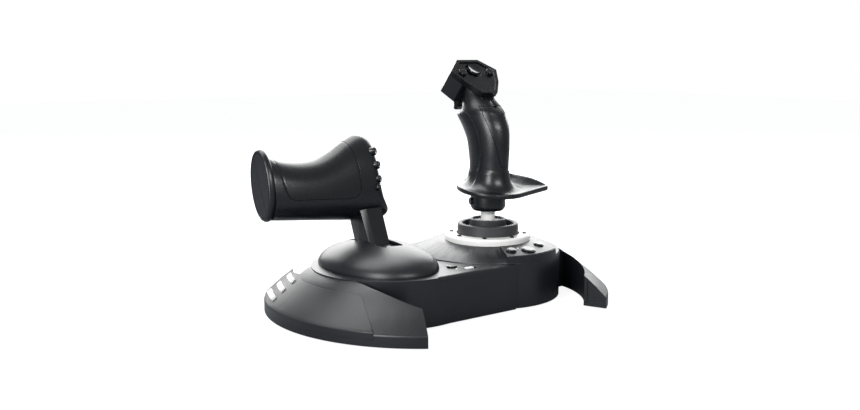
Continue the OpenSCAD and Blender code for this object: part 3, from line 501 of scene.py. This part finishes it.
# Where the inner end of the barrel stands at each height: a heel at the bottom, a hollow, then a
# round shoulder
inner_end = [
    (-42, 6), (-39.8, 14), (-37.6, 20), (-34.6, 23), (-31, 23.2), (-27, 21.2), (-21, 18), (-13, 15.8),
    (-3, 14.4), (10, 13.6), (20, 13.4), (27, 13), (31, 12), (34.5, 9.8), (37, 6.6), (39.5, 0),
]
end_x = 13  # where the barrel's straight part ends, in mm from the post's middle
barrel_points = 128


def barrel_ring(x, pinch=0.0, shrink=0.0):
    """One cross section of the barrel, leaning into the shape of the inner end as it nears it."""
    top = curve_value(barrel_top, x) - shrink
    bottom = curve_value(barrel_bottom, x) + shrink
    depth = curve_value(barrel_depth, x) - shrink
    near_end = max(0.0, (x + 40) / 53) ** 3
    ring = []
    fullness = 2 / 2.35  # below 1, the section is fuller at its corners than an ellipse
    for i in range(barrel_points):
        a = 2 * math.pi * i / barrel_points
        c = math.cos(a)
        v = math.sin(a)
        y = depth * math.copysign(abs(c) ** fullness, c)
        z = (top + bottom) / 2 + (top - bottom) / 2 * math.copysign(abs(v) ** fullness, v)
        # The top leans in, so the saddle is narrower than the belly
        y *= 1 - 0.16 * max(0.0, v) ** 2
        # The inner end is rounded in plan, for the thumb
        y *= (11.5 + math.sqrt(81 - min(8.6, max(0.0, x - 4.5)) ** 2)) / 20.5
        z = bottom + (z - bottom) * (1 - pinch) + pinch * (top - bottom) / 2
        y *= 1 - pinch
        end = curve_value(inner_end, z) - end_x
        ring.append((x + end * near_end, y, z))
    return ring


sections = [-92.2, -91, -89, -86, -82] + [-78 + 3 * i for i in range(28)] + [4.5, 6, 7.5, 9, 10.2, 11.2]
rings = [barrel_ring(x) for x in sections]
for x, pinch in ((12.0, 0.012), (12.5, 0.03), (12.85, 0.055), (end_x, 0.09)):
    rings.append(barrel_ring(x, pinch))
rings += [barrel_ring(end_x, pinch) for pinch in (0.2, 0.4, 0.6, 0.8, 0.95)]
barrel = skin("barrel", rings)
handle_wall = 2.6
inner_rings = [barrel_ring(x, 0, handle_wall) for x in [-91] + [-88 + 4 * i for i in range(26)]]
inner_barrel = skin("barrel_inside", inner_rings)


def plate_tool(name, outline, y0, y1):
    """A cutting tool: an outline in x and z, drawn out along y."""
    mesh = bpy.data.meshes.new(name)
    n = len(outline)
    points = [(x / 1000, y / 1000, z / 1000) for y in (y0, y1) for x, z in outline]
    faces = [tuple(range(n)), tuple(range(2 * n - 1, n - 1, -1))]
    faces += [(i, i + n, (i + 1) % n + n, (i + 1) % n) for i in range(n)]
    mesh.from_pydata(points, [], faces)
    made = bpy.data.objects.new(name, mesh)
    bpy.context.scene.collection.objects.link(made)
    only(made)
    bpy.ops.object.mode_set(mode="EDIT")
    bpy.ops.mesh.select_all(action="SELECT")
    bpy.ops.mesh.normals_make_consistent(inside=False)
    bpy.ops.object.mode_set(mode="OBJECT")
    return made


def grow(outline, by):
    """The outline, moved out from its middle by a few tenths, for the seam round a let-in part."""
    cx = sum(x for x, z in outline) / len(outline)
    cz = sum(z for x, z in outline) / len(outline)
    return [(x + math.copysign(by, x - cx), z + math.copysign(by, z - cz)) for x, z in outline]


# The cover's edge in x and z, with a seam of 0.4 mm round it
cover_outline = [
    (-87, 60), (-16, 60), (-14, 36), (-11, 20), (-9.5, 6), (-9.2, -9), (-10.6, -14.5), (-15, -17.8),
    (-23, -18.6), (-40, -17.4), (-60, -16.2), (-75, -15.6), (-79.5, -13.4), (-82, -8), (-84, 2),
    (-85.5, 14),
]
cover = duplicate(barrel, "barrel_side_cover")
cut_with(cover, plate_tool("cover_tool", cover_outline, -60, 2), "INTERSECT")
cut_with(cover, duplicate(inner_barrel, "cover_inside"))
cut_with(barrel, plate_tool("cover_seam", grow(cover_outline, 0.4), -60, 2.4))
# The pocket for the lever's post, and the window of the rudder rocker on the far side
cut_with(barrel, block((-0.011, -0.0125, -0.06), (0.011, 0.0125, -0.02)))
cut_with(barrel, block((-0.0605, 0.0148, -0.0072), (-0.0295, 0.03, 0.0072)))
# The three round thumb buttons and the small one below them: place in mm on the barrel, turn about
# the vertical in degrees, and radius in mm
thumb_places = {
    "handle_button_upper": ((9.6, -16.2, 21.6), 50, 3.9),
    "handle_button_middle": ((10.3, -18.4, 9), 50, 3.9),
    "handle_button_lower": ((10.3, -18.4, -3.6), 50, 3.5),
    "handle_button_oval": ((8, -19.3, -11.2), 65, 3),
}


def thumb_turn(place, turn):
    """The place of a thumb button that faces outwards at an angle to the barrel's length."""
    return (
        Matrix.Translation(Vector(place) / 1000)
        @ Matrix.Rotation(math.radians(-turn), 4, "Z")
        @ Matrix.Rotation(math.radians(90), 4, "Y")
    )


def disc(radius, height):
    """A circle of 48 points, level, in millimetres."""
    turns = [2 * math.pi * i / 48 for i in range(48)]
    return [(radius * math.cos(a), radius * math.sin(a), height) for a in turns]


# A button cap's side: height, and how far it stands in from the full radius
cap_profile = [
    (-6.4, 0.3), (-6.2, 0), (1.6, 0), (2.3, 0.25), (2.7, 0.8), (2.75, 1.3), (2.5, 2.0), (2.35, 2.7),
]
hole_gap = 0.35
for node, (place, turn, radius) in thumb_places.items():
    drill = skin("drill", [disc(radius + hole_gap, -9), disc(radius + hole_gap, 9)])
    drill.data.transform(thumb_turn(place, turn))
    cut_with(barrel, drill)
    cap = skin("thumb_cap", [disc(radius - inset, height) for height, inset in cap_profile])
    cap.name = "cap_" + node
    only(cap)
    bpy.ops.object.shade_smooth_by_angle(angle=math.radians(35))
    cap.data.transform(handle_turn @ thumb_turn(place, turn))
    settle(cap, smooth_abs, node)
# The halves, each cut back by half of the joint between them
half_joint = 0.00015
rear_half = duplicate(barrel, "barrel_rear_half")
cut_with(rear_half, block((-0.2, half_joint, -0.1), (0.2, 0.1, 0.1)))
front_half = barrel
front_half.name = "barrel_front_half"
cut_with(front_half, block((-0.2, -0.1, -0.1), (0.2, -half_joint, 0.1)))
bpy.data.objects.remove(inner_barrel)
handle_parts = (
    (rear_half, "handle_rear_shell"),
    (front_half, "handle_front_shell"),
    (cover, "handle_side_cover"),
)
for piece, node in handle_parts:
    round_edges(piece, 0.3, 2, 40)
    piece.data.transform(handle_turn)
    settle(piece, satin_abs, node)


def oval(x, wide, high):
    """An upright oval of 96 points across the barrel, in millimetres, its middle 0.2 mm up."""
    turns = [2 * math.pi * i / 96 for i in range(96)]
    return [(x, wide * math.cos(a), 0.2 + high * math.sin(a)) for a in turns]


# The end cap: a rolled oval rim, as place, half width and half height, and a face in two leaves
rim_profile = (
    (-91.8, 16.6, 28.6),
    (-92.2, 17.1, 29.8),
    (-93, 17.5, 30.8),
    (-94.2, 17.7, 31.2),
    (-95.8, 17.5, 31),
    (-97.2, 16.8, 30.2),
    (-98, 15.8, 29.1),
    (-98, 15.2, 28.4),
    (-97.3, 14.9, 28),
)
cap_rim = skin("barrel_end_rim", [oval(*ring) for ring in rim_profile])
only(cap_rim)
bpy.ops.object.shade_smooth_by_angle(angle=math.radians(45))
face_profile = ((-96.6, 14.7, 27.8), (-97.5, 14.7, 27.8), (-97.7, 14.4, 27.5))
cap_face = skin("barrel_end_face", [oval(*ring) for ring in face_profile])
only(cap_face)
bpy.ops.object.shade_smooth_by_angle(angle=math.radians(30))
leaf_seam = block((-0.0985, -0.0002, -0.04), (-0.0972, 0.0002, 0.04))
leaf_seam.data.transform(Matrix.Rotation(math.radians(-14), 4, "X"))
cut_with(cap_face, leaf_seam)
for piece in (cap_rim, cap_face):
    piece.data.transform(handle_turn)
settle(cap_rim, satin_abs, "handle_end_cap")
settle(cap_face, textured_abs, "handle_end_cap")

moulding("rudder_rocker", 0.6, smooth_abs)

# ---------- crescents ----------
# Two curved feet of the textured ABS, one fixed to each side of the base, sloping down to the desk.
# The left one has a thin cover let into its slope and three milk-white light strips.

moulding("right_crescent", 0.8, textured_abs)
moulding("left_crescent", 0.8, textured_abs)
moulding("crescent_cover", 0.4, textured_abs)
moulding("light_strips", 0.3, milky_abs)

# ---------- grip ----------
# Two ABS halves round the shaft, joined front and back: a collar, the hand rest drawn out to a
# tip on the right, and the hand's hollow above it. A tapering plate is let into the back.

stick_axis = Vector((0.053, 0, 0))
# Height, middle, half width, half depth of the grip above the hand rest
waist = [
    (117, -0.4, 15.4, 21.6), (126, -0.4, 15, 21.6), (138, 0, 15.5, 22.8), (150, 1.5, 16.3, 24),
    (160, 5, 17.5, 26), (166, 8.2, 18.1, 27.2), (170, 10.8, 18.3, 27.9), (172.6, 11.4, 18.2, 27.2),
    (175.4, 9.6, 18, 24), (178, 9.6, 17.4, 21.9), (181.5, 11.2, 16.7, 19.6), (185, 13.5, 15.9, 17.5),
    (188, 15.7, 15.4, 16.3), (192, 18, 15, 15.2), (197, 20.6, 15, 14.4), (206, 25, 15, 14),
]
# Where the palm's swell meets the fingers' hollow: degrees round from the front, at each height
crease_line = [
    (110, 88), (114.5, 89), (129, 102), (142, 106), (154, 105), (165, 103), (173, 95), (178, 62),
    (184, 40),
]
rest_tip = Vector((57.5, -17.5))
rest_round = Vector((2.5, -2))
tip_angle = math.atan2(rest_tip.y - rest_round.y, rest_tip.x - rest_round.x)
around = 240


def rest_outline():
    """The hand rest's plan: a round of 33 mm drawn out to a tip of 2.5 mm."""
    run = rest_tip - rest_round
    spread = math.acos((33 - 2.5) / run.length)
    points = []
    for k in range(121):
        a = tip_angle + spread + (2 * math.pi - 2 * spread) * k / 120
        points.append(rest_round + 33 * Vector((math.cos(a), math.sin(a))))
    for k in range(13):
        a = tip_angle - spread + 2 * spread * k / 12
        points.append(rest_tip + 2.5 * Vector((math.cos(a), math.sin(a))))
    return points


plan = rest_outline()


def reach(direction):
    """Distance from the stick's axis to the hand rest's edge in one direction."""
    best = 0
    for k, p in enumerate(plan):
        q = plan[(k + 1) % len(plan)]
        across = direction.x * (q.y - p.y) - direction.y * (q.x - p.x)
        if abs(across) < 1e-9:
            continue
        t = (p.x * (q.y - p.y) - p.y * (q.x - p.x)) / across
        u = (p.x * direction.y - p.y * direction.x) / across
        if t > 0 and -1e-6 <= u <= 1 + 1e-6:
            best = max(best, t)
    return best


# More columns towards the tip, where the edge turns sharply
columns = []
for k in range(around):
    a = 2 * math.pi * k / around
    columns.append(tip_angle + a - 0.72 * math.sin(a))
reaches = [reach(Vector((math.cos(a), math.sin(a)))) for a in columns]
rise = math.tan(math.radians(6.67))


def smooth_step(value):
    """An even change from 0 to 1, flat at both ends."""
    t = min(1.0, max(0.0, value))
    return t * t * (3 - 2 * t)


crease_depth = 0.9


def waist_point(a, z, inset=0.0):
    """A point on the grip above the hand rest, at an angle round the stick and at a height."""
    yc = curve_value([(w[0], w[1]) for w in waist], z)
    rx = curve_value([(w[0], w[2]) for w in waist], z) - inset
    ry = curve_value([(w[0], w[3]) for w in waist], z) - inset
    # The crease: the palm's side stands proud of the fingers' hollow
    front = abs((math.degrees(a) - 90 + 180) % 360 - 180)
    edge = curve_value(crease_line, z)
    proud = crease_depth * smooth_step((front - edge + 2.5) / 5)
    if front < edge:
        proud -= crease_depth * (1 - smooth_step((edge - front) / 34))
    fade = smooth_step((z - 112) / 14) * smooth_step((184 - z) / 8)
    proud *= fade
    return Vector(((rx + proud) * math.cos(a), yc + (ry + proud * 0.6) * math.sin(a), z))


# The far edge of the rest curls up between the tip and the stem: degrees round, lift in mm
curl = [(-16, 0), (-12.7, 2.7), (-7.4, 5.2), (-1.8, 6.4), (7, 7.3), (19.4, 8.3), (45, 7), (80, 2.6), (110, 0)]


def curl_at(a):
    """How far the rest's edge is lifted at an angle round the stick."""
    return curve_value(curl, (math.degrees(a) + 180) % 360 - 180)


def rest_height(p):
    """The height of the rest's top, which rises away from the user."""
    return 104.5 + rise * p.y


# The collar: radius and height of its rounded lower edge, then its straight wall up to the rest
collar = 16.5
collar_foot = 86.4
underside = 100.1
grip_rings = []
for radius, z in ((13.4, 82), (13.9, 82.1), (14.6, 82.7), (16, 84.6), (16.4, 85.4), (collar, collar_foot)):
    grip_rings.append([(radius * math.cos(a), radius * math.sin(a), z) for a in columns])
for share in (0.35, 0.7, 1.0):
    ring = []
    for a in columns:
        wall_height = underside + rise * collar * math.sin(a) - collar_foot
        ring.append((collar * math.cos(a), collar * math.sin(a), collar_foot + share * wall_height))
    grip_rings.append(ring)


def rest_ring(inset, lift, share=None):
    """A ring of the hand rest's underside or edge, in from the edge and up from the underside."""
    ring = []
    for a, r in zip(columns, reaches):
        far = r - inset if share is None else collar + (r - inset - collar) * share
        p = Vector((far * math.cos(a), far * math.sin(a), 0))
        up = curl_at(a) * ((far - collar) / (r - collar)) ** 2
        ring.append((p.x, p.y, underside + rise * p.y + lift + up))
    return ring


grip_rings += [rest_ring(1.4, 0, share) for share in (0.25, 0.6, 1.0)]
# The rest's rounded edge, from below to above: how far in, and how far up
edge_round = 1.3
edge_profile = (
    (0.7, 0.1), (0.2, 0.5), (0, 1.1), (0, 2.4), (0, 3.2), (0.15, 3.8), (0.6, 4.25), (edge_round, 4.4),
)
grip_rings += [rest_ring(inset, lift) for inset, lift in edge_profile]
# Top of the rest, in from the edge to the foot of the fillet, then the fillet up to the waist
fillet = 14.5
fillet_top = 119
for share in (0.12, 0.3, 0.5, 0.7, 0.86, 1.0):
    ring = []
    for a, r in zip(columns, reaches):
        stem = waist_point(a, fillet_top).xy.length
        rim = r - edge_round
        far = stem + min(fillet, (rim - stem) * 0.86)
        d = rim + (far - rim) * share
        p = Vector((d * math.cos(a), d * math.sin(a), 0))
        up = curl_at(a) * max(0.0, (d - stem) / (rim - stem)) ** 2
        ring.append((p.x, p.y, rest_height(p) + up))
    grip_rings.append(ring)
for k in range(1, 13):
    turn = math.pi / 2 * (1 - k / 12)
    ring = []
    for a, r in zip(columns, reaches):
        stem = waist_point(a, fillet_top).xy.length
        rim = r - edge_round
        run = min(fillet, (rim - stem) * 0.86)
        d = stem + run * (1 - math.cos(turn))
        p = Vector((d * math.cos(a), d * math.sin(a), 0))
        up = curl_at(a) * max(0.0, (d - stem) / (rim - stem)) ** 2
        base = rest_height(p) + up
        ring.append((p.x, p.y, base + (fillet_top - base) * (1 - math.sin(turn))))
    grip_rings.append(ring)
height = 120.6
while height < 204:
    grip_rings.append([tuple(waist_point(a, height)) for a in columns])
    height += 1.0 if 166 < height < 182 else 1.6
grip = skin("grip", grip_rings)
# The head leans over the grip, which is cut off under its plate and hollowed for its housing
head_place = (0, 0.0154, 0.2076)
head_lean = math.radians(40.8)
head_turn = Matrix.Translation(head_place) @ Matrix.Rotation(head_lean, 4, "X")
above_plate = block((-0.06, -0.06, -0.0056), (0.06, 0.09, 0.08))
above_plate.data.transform(head_turn)
cut_with(grip, above_plate)
inside_housing = block((-0.06, -0.0062, -0.0262), (0.06, 0.09, 0.0))
inside_housing.data.transform(head_turn)
cut_with(grip, inside_housing)
# The plate let into the back, as x and z from its foot up, with a seam of 0.35 mm round it
inlay_outline = [
    (-2.2, 124.6), (2.2, 124.6), (4.4, 128.5), (6.2, 136), (9.2, 150), (12, 162), (13.6, 172),
    (13.8, 180), (-13.8, 180), (-13.6, 172), (-12, 162), (-9.2, 150), (-6.2, 136), (-4.4, 128.5),
]
grip_wall = 2.2
inner_rings = [[tuple(waist_point(a, z, grip_wall)) for a in columns] for z in range(112, 200, 4)]
inner_grip = skin("grip_inside", inner_rings)
inlay = duplicate(grip, "rear_inlay_plate")
cut_with(inlay, plate_tool("inlay_tool", inlay_outline, -60, 8), "INTERSECT")
cut_with(inlay, inner_grip)
cut_with(grip, plate_tool("inlay_seam", grow(inlay_outline, 0.35), -60, 1.5))
# The halves, each cut back by half of the joint between them
half_seam = 0.00018
left_grip = duplicate(grip, "grip_left_half")
cut_with(left_grip, block((-half_seam, -0.1, 0), (0.1, 0.1, 0.3)))
right_grip = grip
right_grip.name = "grip_right_half"
cut_with(right_grip, block((-0.1, -0.1, 0), (half_seam, 0.1, 0.3)))
grip_parts = (
    (left_grip, "grip_left_shell"),
    (right_grip, "grip_right_shell"),
    (inlay, "rear_inlay"),
)
for piece, node in grip_parts:
    round_edges(piece, 0.25, 2, 40)
    piece.data.transform(Matrix.Translation(stick_axis))
    settle(piece, satin_abs, node)
moulding("twist_lock_screw", 0.4, smooth_abs)

# ---------- head ----------
# A housing of the textured ABS that leans over the grip, closed on its face by a polished plate.
# The plate holds the hat and a button at each side of it, and the trigger hangs towards the fingers.

moulding("head_housing", 1.2, textured_abs)
moulding("head_plate", 0.5, smooth_abs)
moulding("trigger", 0.8, smooth_abs)
dress(grey_nylon, "hat_rocker")
moulding("hat_cap", 0.4, smooth_abs)
moulding("head_button_left", 0.5, smooth_abs)
moulding("head_button_right", 0.5, smooth_abs)
